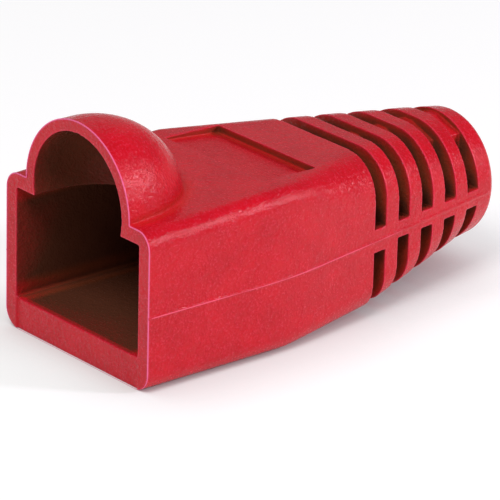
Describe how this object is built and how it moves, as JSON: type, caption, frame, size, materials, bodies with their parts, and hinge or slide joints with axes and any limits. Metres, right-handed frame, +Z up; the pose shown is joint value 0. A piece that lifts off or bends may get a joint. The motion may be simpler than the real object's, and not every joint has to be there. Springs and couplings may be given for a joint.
{
  "type": "strain relief boot for a modular plug",
  "caption": "Soft one-piece boot: a square socket with a domed latch hood grips a modular plug, and a slotted, tapering tail lets the cable bend gently.",
  "frame": {"origin": "on the plane of symmetry, at the middle of the boot's length, on the flat underside", "axes": "+Y runs along the boot from the plug mouth to the cable end, +Z is up through the latch hood, and the YZ plane is the plane of symmetry"},
  "size_m": [0.0138, 0.0298, 0.0149],
  "materials": {
    "soft_red_pvc": "fine matt grain"
  },
  "bodies": {
    "root": {"strain_relief_boot": "soft_red_pvc"}
  },
  "joints": []
}
